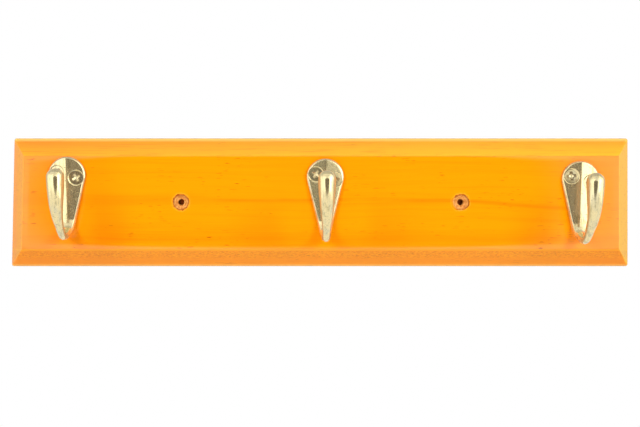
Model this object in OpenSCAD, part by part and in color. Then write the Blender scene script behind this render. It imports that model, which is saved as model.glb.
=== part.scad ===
// Wall coat rack: a bevelled pine board that carries a row of cast brass robe hooks.
// The origin is the middle of the board's flat back, which rests on the wall.
// +X runs along the board, +Z is up, and the hooks stand out towards -Y.
// Lengths are in millimetres and angles in degrees.

/* [Board] */
// Length of the board
board_w = 305; // [290:1:420]
// Height of the board
board_h = 63.5; // [62:0.5:90]
// Thickness of the board
board_t = 16; // [14:0.5:22]
// Width of the bevel along the top and bottom edges
bevel_long = 8.9; // [4:0.1:9]
// Width of the bevel at the two ends
bevel_end = 6.9; // [4:0.1:10]
// How far the bevels run back from the front face
bevel_depth = 10; // [5:0.5:11]
// Radius of the rounded arris between a bevel and the board's side
arris_r = 2.5; // [0.5:0.1:3]
// How far the left end runs out of square, from its top corner to its bottom corner
end_skew = 1.3; // [0.1:0.1:3]

/* [Wall screw holes] */
// Distance between the two wall screw holes
wall_hole_spacing = 136.7; // [60:0.1:180]
// Height of the wall screw holes above the board's middle line
wall_hole_rise = 0.2; // [-3:0.1:3]
// Diameter of each wall screw hole
wall_hole_d = 3; // [2.5:0.1:5]
// Diameter of its countersink at the front face
wall_sink_d = 7.7; // [6:0.1:10]

/* [Row of hooks] */
// Distance from each end of the board to the outer hook
end_margin = 27.5; // [20:0.5:40]
// Flat face left between the top bevel and a plate's top
top_margin = 1.45; // [1.2:0.05:6]
// How far the row sits to the right of the board's middle
row_shift = 1.6; // [-3:0.1:3]
// How far each hook was fitted to the right of its place: left, centre, right
hook_slip_x = [-0.5, 0.5, -0.1]; // [-2:0.1:2]
// How far each hook was fitted above its place: left, centre, right
hook_slip_z = [1, 0.1, -1]; // [-2:0.1:1.2]
// Turn of each hook, its top going right where positive: left, centre, right
hook_turn = [-1.6, 0, 2]; // [-3:0.1:3]

/* [Hook plate] */
// Radius of the plate's round head
plate_r = 9; // [8.8:0.1:11]
// Angle at which each side draws in below the head
side_taper = 13.9; // [10:0.1:15]
// Length of the flat plate, from its top to where the neck starts to bend
plate_flat_l = 30; // [27:0.5:33]
// Thickness of the plate along its middle ridge
ridge_t = 2.9; // [2.7:0.1:4]
// Thickness of the plate where its facets meet the rim, at the widest place
facet_edge_t = 2; // [1.8:0.1:2.4]
// Height of the plate's upright outer edge
edge_t = 1.1; // [0.6:0.1:1.5]
// Width of the bevelled rim
rim_w = 0.95; // [0.6:0.05:1.1]

/* [Hook prong] */
// Radius of the neck at the lowest part of the crook
neck_r = 1.85; // [1.6:0.05:2.4]
// Radius of the first bend, where the neck leaves the plate
neck_bend_r = 7.5; // [6:0.1:9]
// Angle that the first bend turns through
neck_turn = 62; // [50:1:70]
// Length over which the flat plate turns into the round neck
neck_l = 15; // [12:0.5:18]
// Radius of the crook under the neck
crook_r = 15; // [12:0.5:16]
// Angle at which the prong climbs away from the crook
rise_angle = 43; // [38:1:48]
// Radius of the upper bend, where the prong turns upright
upper_bend_r = 16; // [12:0.5:18]
// Distance from the back of the plate to the axis of the upright prong
reach = 31.4; // [30.5:0.1:34]
// Height of the prong's tip above the middle of the plate's round head
tip_rise = 3; // [-2:0.1:8]
// Radius of the bulb at the end of the prong
bulb_r = 4.15; // [3:0.05:5]
// Height of the bulb's domed end
dome_h = 4; // [2:0.1:6]
// Length over which the prong swells into the bulb
swell_l = 31; // [24:1:34]

/* [Hook screws] */
// Distance of each screw from the ridge
screw_offset = 4.6; // [4.3:0.1:4.8]
// Height of the left screw above the right one
screw_stagger = 2.7; // [0.1:0.1:4]
// Diameter of the screw's head
screw_head_d = 6.2; // [5.6:0.1:6.4]
// Diameter of the smooth shank, and of the thread's crests
screw_d = 3.5; // [3.3:0.1:3.7]
// Length of the screw, head included
screw_l = 12.7; // [9:0.1:14]
// Distance between the thread's crests
thread_pitch = 1.3; // [1:0.1:1.8]
// Depth of the thread
thread_depth = 0.55; // [0.3:0.05:0.7]
// Shortest length of the screw's smooth point
point_l = 2.8; // [2:0.1:4]
// Height of a fitted head's top above the board
head_top = 1.85; // [1.7:0.05:2]
// Width of the cross recess from wing to wing
recess_d = 4.6; // [3.5:0.1:4.8]
// Width of one wing of the recess
recess_wing = 0.95; // [0.6:0.05:1.2]
// Depth of the recess
recess_depth = 1.7; // [1:0.1:2]

/* [Fits] */
// Gap between a screw's head and its countersink
head_gap = 0.05; // [0.02:0.01:0.1]
// Gap round a shank in the plate's hole
shank_gap = 0.2; // [0.1:0.05:0.4]
// Gap round a thread in the board
thread_gap = 0.05; // [0.02:0.01:0.1]
// Free depth beyond a screw's point in the board
point_gap = 0.4; // [0.2:0.1:1]

/* [Hidden] */
$fn = 64;
// Places in the lists above, and in the list of screws below
LEFT = 0;
CENTRE = 1;
RIGHT = 2;
UPPER = 0;
LOWER = 1;
// Turn of the cross recess in each hook's upper and lower screw
recess_turn = [[30, 38], [22, 12], [28, 8]];
pine = "#f4a321";
cast_brass = "#dcc07a";
screw_brass = "#b99a55";
// Cutters run past the faces that they cut by this much
past = 1;

// Derived sizes of the board
edge_h = board_t - bevel_depth;
ARRIS_STEPS = 6;
skew_angle = atan(end_skew / board_h);
hook_pitch = board_w / 2 - end_margin;
hook_rise = board_h / 2 - bevel_long - top_margin - plate_r;
// Countersinks and screw heads are right-angled cones, so a cone's height is its change of radius
wall_sink_h = (wall_sink_d - wall_hole_d) / 2;

// Derived sizes of a screw, whose own height 0 is the board's front face
shank_r = screw_d / 2;
core_r = shank_r - thread_depth;
head_h = screw_head_d / 2 - shank_r;
seat_top = head_top - head_h;
tip_top = head_top - screw_l;
thread_top = -thread_pitch / 2;
crests = floor((thread_top - tip_top - point_l) / thread_pitch);
thread_end = thread_top - crests * thread_pitch;

// Derived sizes of a hook, whose own origin is the middle of the plate's round head
facet_slope = (ridge_t - facet_edge_t) / (plate_r - rim_w);
bend_z = plate_r - plate_flat_l;
side_l = (-bend_z - plate_r * sin(side_taper)) / cos(side_taper);
bend_half_w = plate_r * cos(side_taper) - side_l * sin(side_taper);
arc_length = PI / 180;
neck_bend_l = neck_bend_r * neck_turn * arc_length;
crook_turn = 90 - neck_turn + rise_angle;
crook_l = crook_r * crook_turn * arc_length;
upper_turn = 90 - rise_angle;
upper_bend_l = upper_bend_r * upper_turn * arc_length;

// Board

// Outline of the board over one bevelled edge: x is the distance in from the side, and y the
// distance forward from the back
function edge_outline(bevel) =
    let (slope = atan2(bevel_depth, bevel),
         setback = arris_r * tan((90 - slope) / 2))
    concat(
        [[0, 0]],
        [for (step = [0 : ARRIS_STEPS])
            let (at = 180 - (90 - slope) * step / ARRIS_STEPS)
            [arris_r + arris_r * cos(at), edge_h - setback + arris_r * sin(at)]],
        [[bevel, board_t]]
    );

// A bar with the bevels of the board's top and bottom edges
module long_bar() {
    edge = edge_outline(bevel_long);
    rotate([180, -90, 0])
        linear_extrude(board_w + 2 * end_skew, center = true)
            polygon(concat(
                [for (p = edge) [p[0] - board_h / 2, p[1]]],
                [for (i = [1 : len(edge)])
                    let (p = edge[len(edge) - i]) [board_h / 2 - p[0], p[1]]]
            ));
}

// A slab with the bevel of the board's left end, which reaches past the other three sides
module end_slab() {
    reach_in = board_w + end_skew;
    translate([-board_w / 2, 0, 0])
        rotate([180, 0, 0])
            linear_extrude(2 * board_h, center = true)
                polygon(concat(edge_outline(bevel_end), [[reach_in, board_t], [reach_in, 0]]));
}

// One countersunk hole for a wall screw, drilled from the front
module wall_screw_hole() {
    rotate([90, 0, 0]) {
        translate([0, 0, -past])
            cylinder(h = board_t + 2 * past, d = wall_hole_d);
        translate([0, 0, board_t - wall_sink_h])
            cylinder(h = wall_sink_h + past, r1 = wall_hole_d / 2,
                     r2 = wall_sink_d / 2 + past);
    }
}

module board() {
    color(pine)
        difference() {
            intersection() {
                long_bar();
                translate([-board_w / 2, 0, 0])
                    rotate([0, skew_angle, 0])
                        translate([board_w / 2, 0, 0])
                            end_slab();
                mirror([1, 0, 0])
                    end_slab();
            }
            for (side = [-1, 1])
                translate([side * wall_hole_spacing / 2, 0, wall_hole_rise])
                    wall_screw_hole();
            for (hook = [LEFT : RIGHT])
                for (place = [UPPER : LOWER])
                    at_screw(hook, place)
                        board_hole();
        }
}

// Places along the row

// Puts its child, drawn about a hook's own origin, on the board's front face
module at_hook(hook) {
    x = row_shift + (hook - CENTRE) * hook_pitch + hook_slip_x[hook];
    translate([x, -board_t, hook_rise + hook_slip_z[hook]])
        rotate([0, hook_turn[hook], 0])
            children();
}

// Puts its child on one of a hook's two screw axes, with +Z pointing out of the board
module at_screw(hook, place) {
    side = place == UPPER ? -1 : 1;
    at_hook(hook)
        translate([side * screw_offset, 0, -side * screw_stagger / 2])
            rotate([90, 0, 0])
                children();
}

// Screws

// Revolved outline of a countersunk screw, with the thread as a row of crests and roots
module screw_blank() {
    rotate_extrude()
        polygon(concat(
            [[0, head_top], [screw_head_d / 2, head_top], [shank_r, seat_top],
             [shank_r, thread_top]],
            [for (turn = [1 : crests])
                each [[core_r, thread_top - (turn - 0.5) * thread_pitch],
                      [shank_r, thread_top - turn * thread_pitch]]],
            [[core_r, thread_end - thread_pitch / 2], [0, tip_top]]
        ));
}

// Cross recess: two crossed wings within a cone that narrows downwards
module cross_recess() {
    intersection() {
        translate([0, 0, head_top - recess_depth]) {
            cylinder(h = recess_depth, r1 = recess_wing, r2 = recess_d / 2);
            translate([0, 0, recess_depth])
                cylinder(h = past, d = recess_d);
        }
        for (wing = [0, 90])
            rotate([0, 0, wing])
                translate([-recess_d, -recess_wing / 2, head_top - recess_depth - past])
                    cube([2 * recess_d, recess_wing, recess_depth + 3 * past]);
    }
}

module screw(hook, place) {
    color(screw_brass)
        at_screw(hook, place)
            difference() {
                screw_blank();
                rotate([0, 0, recess_turn[hook][place]])
                    cross_recess();
            }
}

// Hole for a screw's thread in the board
module board_hole() {
    translate([0, 0, tip_top - point_gap])
        cylinder(h = point_gap - tip_top + past, r = shank_r + thread_gap);
}

// Countersunk hole for a screw through a hook's plate
module plate_hole() {
    hole_r = shank_r + shank_gap;
    // The cone lies outside the head's cone by the gap, measured square to both
    cone_out = shank_r + head_gap * sqrt(2);
    cone_top = ridge_t + past;
    rotate_extrude()
        polygon([
            [0, -past],
            [hole_r, -past],
            [hole_r, seat_top + hole_r - cone_out],
            [cone_out + cone_top - seat_top, cone_top],
            [0, cone_top]
        ]);
}

// Hooks: the plate is cut from flat and conical faces, and the neck and prong are one skin

// The rim's bevel goes on up to above the ridge at the same slope
rim_slope = (facet_edge_t - edge_t) / rim_w;
rim_top = ridge_t + past;
rim_in = plate_r - (rim_top - edge_t) / rim_slope;
// The round head is this much smaller than the sides' planes, so that their faces cross cleanly
hair = 0.01;

// The plate's round head, with its bevelled rim
module plate_head() {
    rotate([90, 0, 0])
        rotate_extrude()
            polygon([
                [0, 0],
                [plate_r - hair, 0],
                [plate_r - hair, edge_t],
                [rim_in - hair, rim_top],
                [0, rim_top]
            ]);
}

// All that lies inside the plate's right side and its rim, below the head's middle
module plate_side() {
    rotate([0, side_taper, 0])
        rotate([180, 0, 0])
            linear_extrude(plate_flat_l + past)
                polygon([
                    [-plate_flat_l, 0],
                    [plate_r, 0],
                    [plate_r, edge_t],
                    [rim_in, rim_top],
                    [-plate_flat_l, rim_top]
                ]);
}

// All that lies behind the two facets, above the place where the neck starts to bend
module facets() {
    half = plate_r + past;
    translate([0, 0, bend_z])
        rotate([180, 0, 0])
            mirror([0, 0, 1])
                linear_extrude(plate_flat_l + past)
                    polygon([
                        [-half, 0],
                        [half, 0],
                        [half, ridge_t - facet_slope * half],
                        [0, ridge_t],
                        [-half, ridge_t - facet_slope * half]
                    ]);
}

module plate() {
    intersection() {
        facets();
        union() {
            plate_head();
            intersection() {
                plate_side();
                mirror([1, 0, 0])
                    plate_side();
            }
        }
    }
}

// Points of a ring from the front, down one side, to the middle of the back
HALF = 10;
RING = 2 * HALF;
PATH_ROWS = 42;
DOME_ROWS = 5;
// The neck's skin starts this far up inside the plate, and is this much smaller there
tuck_l = 2.5;
tuck = 0.97;

// The section turns round from a fifteenth of the neck's length before the bend to eleven
// fifteenths of it after, and the neck narrows the faster at first the higher the power is
round_from = -neck_l / 15;
round_by = neck_l * 11 / 15;
waist_power = 1.6;
// Latitude of the bulb's last ring, which leaves a small flat at the top
DOME_TOP = 87;

function smooth_step(t) = let (k = max(0, min(1, t))) k * k * (3 - 2 * k);
function blend(a, b, t) = a + (b - a) * t;
function half_index(i) = i <= HALF ? i : RING - i;
function side_sign(i) = i <= HALF ? 1 : -1;

// A place on the hook's path is [distance forward, height, heading]: heading -90 is straight down
// the plate, 0 is straight out of the board and 90 is straight up
function inward(heading) = [-sin(heading), cos(heading)];
function bend(from, radius, turn) =
    let (shift = radius * (inward(from[2]) - inward(from[2] + turn)))
    [from[0] + shift[0], from[1] + shift[1], from[2] + turn];
function ahead(from, l) =
    [from[0] + l * cos(from[2]), from[1] + l * sin(from[2]), from[2]];

path_start = [ridge_t / 2, bend_z, -90];
after_neck = bend(path_start, neck_bend_r, neck_turn);
after_crook = bend(after_neck, crook_r, crook_turn);
ramp_l = (reach - after_crook[0] - upper_bend_r * (1 - sin(rise_angle))) / cos(rise_angle);
after_ramp = ahead(after_crook, ramp_l);
after_upper = bend(after_ramp, upper_bend_r, upper_turn);
tip_l = tip_rise - dome_h - after_upper[1];
to_crook = neck_bend_l + crook_l;
to_ramp = to_crook + ramp_l;
to_upper = to_ramp + upper_bend_l;
path_l = to_upper + tip_l;

// Place on the path at a distance s from where the neck starts to bend
function place_at(s) =
    s < 0 ? ahead(path_start, s)
    : s < neck_bend_l ? bend(path_start, neck_bend_r, s / neck_bend_r / arc_length)
    : s < to_crook ? bend(after_neck, crook_r, (s - neck_bend_l) / crook_r / arc_length)
    : s < to_ramp ? ahead(after_crook, s - to_crook)
    : s < to_upper ? bend(after_ramp, upper_bend_r, (s - to_ramp) / upper_bend_r / arc_length)
    : ahead(after_upper, s - to_upper);

// The neck narrows to its round part, and the prong swells again towards the bulb
function half_width(s) = s < 0 ? bend_half_w - s * tan(side_taper)
    : s < neck_l ? neck_r + (bend_half_w - neck_r) * pow(1 - s / neck_l, waist_power)
    : blend(neck_r, bulb_r, smooth_step((s - path_l + swell_l) / swell_l));
function half_depth(s) = s < neck_l
    ? blend(ridge_t / 2, neck_r, smooth_step(s / neck_l))
    : half_width(s);

// Corner k of half the plate's section: across from the ridge, and forward from the back. Corners
// 0 to 3 lie on a facet, 3 to 5 on the rim, 5 to 6 up the edge and 6 to 10 along the flat back
function facet_point(across) = [across, ridge_t - facet_slope * across];
// The rim's bevel meets the facet this far from the ridge
function rim_inner(half_w) =
    let (slope = rim_slope * cos(side_taper))
    max(0, (slope * half_w - (ridge_t - edge_t)) / (slope - facet_slope));
function plate_point(k, half_w) =
    k <= 3 ? facet_point(rim_inner(half_w) * k / 3)
    : k == 4 ? (facet_point(rim_inner(half_w)) + [half_w, edge_t]) / 2
    : k == 5 ? [half_w, edge_t]
    : [half_w * (HALF - k) / (HALF - 6), 0];

// Ring square to the path, part plate and part ellipse
function path_ring(s) =
    let (place = place_at(s),
         in_dir = inward(place[2]),
         w = half_width(s),
         d = half_depth(s),
         roundness = smooth_step((s - round_from) / (round_by - round_from)))
    [for (i = [0 : RING - 1])
        let (k = half_index(i),
             flat = tuck * (plate_point(k, w) - [0, ridge_t / 2]),
             round = [w * sin(180 * k / HALF), d * cos(180 * k / HALF)],
             p = blend(flat, round, roundness))
        [side_sign(i) * p[0], -place[0] - p[1] * in_dir[0], place[1] + p[1] * in_dir[1]]];

// Ring of the domed end, at a latitude above the path's end
function dome_ring(latitude) =
    let (r = bulb_r * cos(latitude))
    [for (i = [0 : RING - 1])
        [side_sign(i) * r * sin(180 * half_index(i) / HALF),
         -reach + r * cos(180 * half_index(i) / HALF),
         tip_rise - dome_h + dome_h * sin(latitude)]];

prong_rings = concat(
    [for (row = [0 : PATH_ROWS]) path_ring(blend(-tuck_l, path_l, row / PATH_ROWS))],
    [for (row = [1 : DOME_ROWS]) dome_ring(DOME_TOP * row / DOME_ROWS)]
);

// Two triangles between neighbouring points of two neighbouring rings
function skin_faces(rings) = [
    for (r = [0 : rings - 2])
        for (i = [0 : RING - 1])
            let (a = r * RING + i, b = r * RING + (i + 1) % RING)
            each [[a, b, b + RING], [a, b + RING, a + RING]]
];

module neck_and_prong() {
    last = len(prong_rings) - 1;
    polyhedron(
        points = [for (ring = prong_rings) each ring],
        faces = concat(
            skin_faces(len(prong_rings)),
            [[for (i = [1 : RING]) RING - i]],
            [[for (i = [0 : RING - 1]) last * RING + i]]
        )
    );
}

module hook(place) {
    color(cast_brass)
        difference() {
            at_hook(place) {
                plate();
                neck_and_prong();
            }
            for (screw_place = [UPPER : LOWER])
                at_screw(place, screw_place)
                    plate_hole();
        }
}

board();
hook(LEFT);  // left_hook
hook(CENTRE);  // centre_hook
hook(RIGHT);  // right_hook
screw(LEFT, UPPER);  // left_hook_upper_screw
screw(LEFT, LOWER);  // left_hook_lower_screw
screw(CENTRE, UPPER);  // centre_hook_upper_screw
screw(CENTRE, LOWER);  // centre_hook_lower_screw
screw(RIGHT, UPPER);  // right_hook_upper_screw
screw(RIGHT, LOWER);  // right_hook_lower_screw
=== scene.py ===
"""A wall coat rack dressed for the camera: stained pine, bare wood and polished brass.

The classes hold sizes in millimetres. Every mesh is written in metres in the rack's own frame,
where X runs along the board, Z is up, the wall is the plane Y = 0 and the hooks stand out
towards -Y.
"""

import logging
import math
from collections.abc import Callable
from dataclasses import dataclass
from enum import Enum

import bmesh
import bpy
import numpy as np
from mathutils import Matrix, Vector


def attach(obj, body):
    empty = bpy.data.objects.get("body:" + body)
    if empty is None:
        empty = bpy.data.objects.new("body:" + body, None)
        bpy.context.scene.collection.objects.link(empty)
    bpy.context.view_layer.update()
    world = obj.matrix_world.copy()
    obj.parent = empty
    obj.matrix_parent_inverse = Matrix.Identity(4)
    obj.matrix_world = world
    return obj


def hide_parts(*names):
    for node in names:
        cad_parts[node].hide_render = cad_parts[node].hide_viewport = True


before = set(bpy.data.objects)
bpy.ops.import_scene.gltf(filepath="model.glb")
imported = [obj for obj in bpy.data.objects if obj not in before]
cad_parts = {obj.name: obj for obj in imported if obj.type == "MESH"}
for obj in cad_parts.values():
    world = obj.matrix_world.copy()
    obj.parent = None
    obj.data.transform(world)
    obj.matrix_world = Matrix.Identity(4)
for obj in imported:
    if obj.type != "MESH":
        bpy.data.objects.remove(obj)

log = logging.getLogger("coat_rack")

MM = 0.001
BODY = "root"
MARK = "finish_mark"
WHITE = (1.0, 1.0, 1.0, 1.0)
Array = np.ndarray
Socket = bpy.types.NodeSocket
Value = Socket | float
Tone = tuple[float, float, float, float]


class Place(Enum):
    """The hooks' places along the board, which begin the names of their nodes."""

    LEFT = "left"
    CENTRE = "centre"
    RIGHT = "right"


class Seat(Enum):
    """The two screws in a plate: the upper one is on the left, where x is negative."""

    UPPER = -1
    LOWER = 1


def ease(t: Array) -> Array:
    """Smooth step: 3t^2 - 2t^3 with t held between 0 and 1."""
    k = np.clip(t, 0.0, 1.0)
    return k * k * (3.0 - 2.0 * k)


def soft_min(a: Array, b: Array, softness: float) -> Array:
    """The smaller of two heights, with the corner between them rounded.

    Args:
        a: First height.
        b: Second height.
        softness: Width of the rounding, in the heights' unit.

    Returns:
        Half of a + b less the root of (a - b) squared plus softness squared.
    """
    return 0.5 * (a + b - np.sqrt((a - b) ** 2 + softness**2))


def stack(*parts: Array | float) -> Array:
    """Put parts side by side in a new last axis, with the short ones spread over the rest."""
    return np.stack(np.broadcast_arrays(*parts), -1)


class Skin:
    """A closed mesh in the making: grids of points whose shared borders are welded at the end."""

    def __init__(self) -> None:
        """Start with no grids."""
        self.points: list[Array] = []
        self.quads: list[Array] = []
        self.marks: list[Array] = []
        self.count = 0

    def add(self, grid: Array, flip: bool = False, keep: Array | None = None,
            mark: Array | float = 0.0) -> None:
        """Add a grid of points and the quads between its neighbours.

        Args:
            grid: Points in millimetres, shaped rows by columns by 3.
            flip: Turn the quads over, so that they face the other way.
            keep: Which quads to make, shaped rows - 1 by columns - 1.
            mark: A value from -1 to 1 for each point, which the finish reads.
        """
        rows, columns = grid.shape[:2]
        index = np.arange(rows * columns).reshape(rows, columns) + self.count
        quads = stack(index[:-1, :-1], index[:-1, 1:], index[1:, 1:], index[1:, :-1])
        quads = quads.reshape(-1, 4) if keep is None else quads[keep]
        self.points.append(grid.reshape(-1, 3))
        self.quads.append(quads[:, ::-1] if flip else quads)
        self.marks.append(np.broadcast_to(mark, (rows, columns)).reshape(-1))
        self.count += rows * columns

    def piece(self, name: str, slot: str, sharp_deg: float, weld_mm: float = 0.002) -> bpy.types.Object:
        """Weld the grids into one object that rides on the rack.

        Args:
            name: Name of the piece.
            slot: Not used.
            sharp_deg: Angle above which an edge is shaded sharp.
            weld_mm: Points nearer than this become one.

        Returns:
            The new object, at the origin, with its place in its mesh.
        """
        mesh = bpy.data.meshes.new(name)
        mesh.from_pydata(np.concatenate(self.points) * MM, [], np.concatenate(self.quads))
        layer = mesh.attributes.new(MARK, "FLOAT", "POINT")
        layer.data.foreach_set("value", np.concatenate(self.marks).astype(np.float32))
        bm = bmesh.new()
        bm.from_mesh(mesh)
        bmesh.ops.remove_doubles(bm, verts=bm.verts, dist=weld_mm * MM)
        bmesh.ops.dissolve_degenerate(bm, edges=bm.edges, dist=weld_mm * MM * 0.1)
        loose = [v for v in bm.verts if not v.link_faces]
        bmesh.ops.delete(bm, geom=loose, context="VERTS")
        bmesh.ops.recalc_face_normals(bm, faces=bm.faces)
        open_edges = sum(1 for e in bm.edges if len(e.link_faces) != 2)
        volume = bm.calc_volume(signed=True) / MM**3
        bm.to_mesh(mesh)
        bm.free()
        mesh.shade_smooth()
        mesh.set_sharp_from_angle(angle=math.radians(sharp_deg))
        piece = bpy.data.objects.new(name, mesh)
        bpy.context.scene.collection.objects.link(piece)
        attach(piece, BODY)
        log.info("%s: %d faces, %d open edges, %.1f mm3", name, len(mesh.polygons), open_edges, volume)
        return piece


@dataclass
class Board:
    """The pine board: bevels on all four edges and two countersunk holes for wall screws."""

    length: float = 305.0
    height: float = 63.5
    thickness: float = 16.0
    bevel_long: float = 8.9
    bevel_end: float = 6.9
    bevel_depth: float = 10.0
    arris_r: float = 2.5
    fillet_r: float = 0.7
    back_r: float = 0.35
    outer_corner_r: float = 1.1
    inner_corner_r: float = 0.3
    end_skew: float = 1.3
    skew_l: float = 40.0
    skew_full_l: float = 10.0
    hole_x: float = 68.35
    hole_z: float = 0.2
    hole_r: float = 1.5
    sink_r: float = 3.85
    sink_wave: float = 0.012
    sink_ripple: float = 0.007
    block_half: float = 6.4
    block_cells: int = 16
    corner_cells: int = 5
    back_rows: int = 5
    arris_rows: int = 11
    bevel_rows: int = 7
    fillet_rows: int = 6
    sharp_deg: float = 50.0
    widest_cell: float = 3.0
    back_still_r: float = 9.2
    back_settle_l: float = 8.0

    def edge_rows(self, bevel: float) -> Array:
        """Profile from the back, up the side, round the arris and up the bevel to the face.

        The arris is a circle of arris_r that touches the side and the bevel, and the corner
        between bevel and face is a circle of fillet_r that touches both.

        Args:
            bevel: Width of the bevel on this edge.

        Returns:
            A row of insets from the outline, and a row of heights above the back.
        """
        slope = math.atan2(self.bevel_depth, bevel)
        edge_h = self.thickness - self.bevel_depth
        start = edge_h - self.arris_r * math.tan((math.pi / 2 - slope) / 2)
        reach = self.fillet_r * math.tan(slope / 2)
        turn = np.linspace(0, math.pi / 2, self.back_rows)
        back = self.back_r * (1 - stack(np.sin(turn), np.cos(turn)))
        turn = np.linspace(math.pi, math.pi / 2 + slope, self.arris_rows)
        arris = np.array([self.arris_r, start]) + self.arris_r * stack(np.cos(turn), np.sin(turn))
        turn = np.linspace(slope, 0, self.fillet_rows)
        fillet = self.fillet_r * stack(-np.sin(turn), np.cos(turn))
        fillet += [bevel + reach, self.thickness - self.fillet_r]
        share = np.linspace(0, 1, self.bevel_rows)[1:-1, None]
        plain = arris[-1] + (fillet[0] - arris[-1]) * share
        return np.concatenate([back, arris, plain, fillet]).T

    def lines(self, half: float, holes: list[float]) -> Array:
        """Places of the grid lines along one direction, with a block of even cells per hole.

        Args:
            half: Half the grid's extent.
            holes: Centres of the blocks.

        Returns:
            Ascending places in millimetres.
        """
        blocks = [hole + end * self.block_half for hole in holes for end in (-1, 1)]
        ends = [-half, *blocks, half]
        parts = []
        for i, (low, high) in enumerate(zip(ends[:-1], ends[1:])):
            cells = self.block_cells if i % 2 else math.ceil((high - low) / self.widest_cell)
            parts.append(np.linspace(low, high, cells + 1)[:-1])
        return np.concatenate([*parts, [half]])

    def loop(self, columns: Array, rows: Array, half_x: float, half_z: float, corner: float) -> Array:
        """A rounded rectangle, anticlockwise seen from the front, from its lower left corner.

        Args:
            columns: The face's grid lines in x, which the straight sides repeat.
            rows: The face's grid lines in z.
            half_x: Half the loop's width.
            half_z: Half the loop's height.
            corner: Radius of its corners.

        Returns:
            Closed row of x and z, its last point the first again.
        """
        flat_x, flat_z = half_x - corner, half_z - corner
        xs, zs = columns / columns[-1] * flat_x, rows / rows[-1] * flat_z
        turn = np.linspace(0, math.pi / 2, self.corner_cells + 2)[1:-1]
        out_x, out_z = corner * np.cos(turn), corner * np.sin(turn)
        ring = np.concatenate([
            stack(xs, -half_z), stack(flat_x + out_z, -flat_z - out_x),
            stack(half_x, zs), stack(flat_x + out_x, flat_z + out_z),
            stack(xs[::-1], half_z), stack(-flat_x - out_z, flat_z + out_x),
            stack(-half_x, zs[::-1]), stack(-flat_x - out_x, -flat_z - out_z),
        ])
        return np.concatenate([ring, ring[:1]])

    def skewed(self, points: Array) -> Array:
        """Lean the left end out of square.

        The lean is full over skew_full_l from the end, and fades out to skew_l by an ease.

        Args:
            points: Points whose last axis is x, y, z.

        Returns:
            The points, moved to the left below the middle and to the right above it.
        """
        from_end = points[..., 0] + self.length / 2
        near_end = ease((self.skew_l - from_end) / (self.skew_l - self.skew_full_l))
        moved = points.copy()
        moved[..., 0] += near_end * self.end_skew * points[..., 2] / self.height
        return moved

    def hole_rows(self, centre_x: float, columns: Array, rows: Array) -> Array:
        """One wall screw hole, from the block round it on the face to the one on the back.

        Each row is a ring. The first rings blend the block's square border into a circle, and
        the rest follow the countersink's cone, the bore and the back's edge. Two sines make the
        countersink a little uneven.

        Args:
            centre_x: Place of the hole along the board.
            columns: The face's grid lines in x.
            rows: The face's grid lines in z.

        Returns:
            Rings of points from the front to the back.
        """
        xs = columns[np.abs(columns - centre_x) < self.block_half + 1e-6]
        zs = rows[np.abs(rows - self.hole_z) < self.block_half + 1e-6]
        border = np.concatenate([
            stack(xs[:-1], zs[0]), stack(xs[-1], zs[:-1]),
            stack(xs[:0:-1], zs[-1]), stack(xs[0], zs[:0:-1]),
        ])
        border = np.concatenate([border, border[:1]]) - [centre_x, self.hole_z]
        angle = np.arctan2(border[:, 1], border[:, 0])
        uneven = 1 + self.sink_wave * np.sin(3 * angle + centre_x)
        uneven += self.sink_ripple * np.sin(7 * angle - centre_x)
        front, drop = self.thickness, self.sink_r - self.hole_r
        radius, rise = np.array([
            (self.sink_r + 0.35, front), (self.sink_r + 0.15, front - 0.01),
            (self.sink_r + 0.03, front - 0.06), (self.sink_r - 0.08, front - 0.16),
            *[(self.sink_r - drop * t, front - drop * t)
              for t in (0.15, 0.3, 0.45, 0.6, 0.75, 0.88, 0.97)],
            (self.hole_r, front - drop - 0.1), (self.hole_r, front * 0.6),
            (self.hole_r, front * 0.3), (self.hole_r, 0.5), (self.hole_r + 0.06, 0.12),
            (self.hole_r + 0.2, 0.0),
        ]).T[..., None]
        radius = radius * np.where(radius > self.hole_r + 0.5, uneven, 1.0)
        tube = stack(radius * np.cos(angle), radius * np.sin(angle))
        inwards = np.array([0.0, 0.3, 0.55, 0.8])[:, None]
        outwards = np.array([0.3, 0.65, 1.0])[:, None]
        on_front = border + (tube[0] - border) * inwards[..., None]
        on_back = tube[-1] + (border - tube[-1]) * outwards[..., None]
        rings = np.concatenate([on_front, tube, on_back])
        rise = np.concatenate([np.full_like(inwards, front), rise, np.zeros_like(outwards)])
        return stack(rings[..., 0] + centre_x, -rise, rings[..., 1] + self.hole_z)

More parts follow.
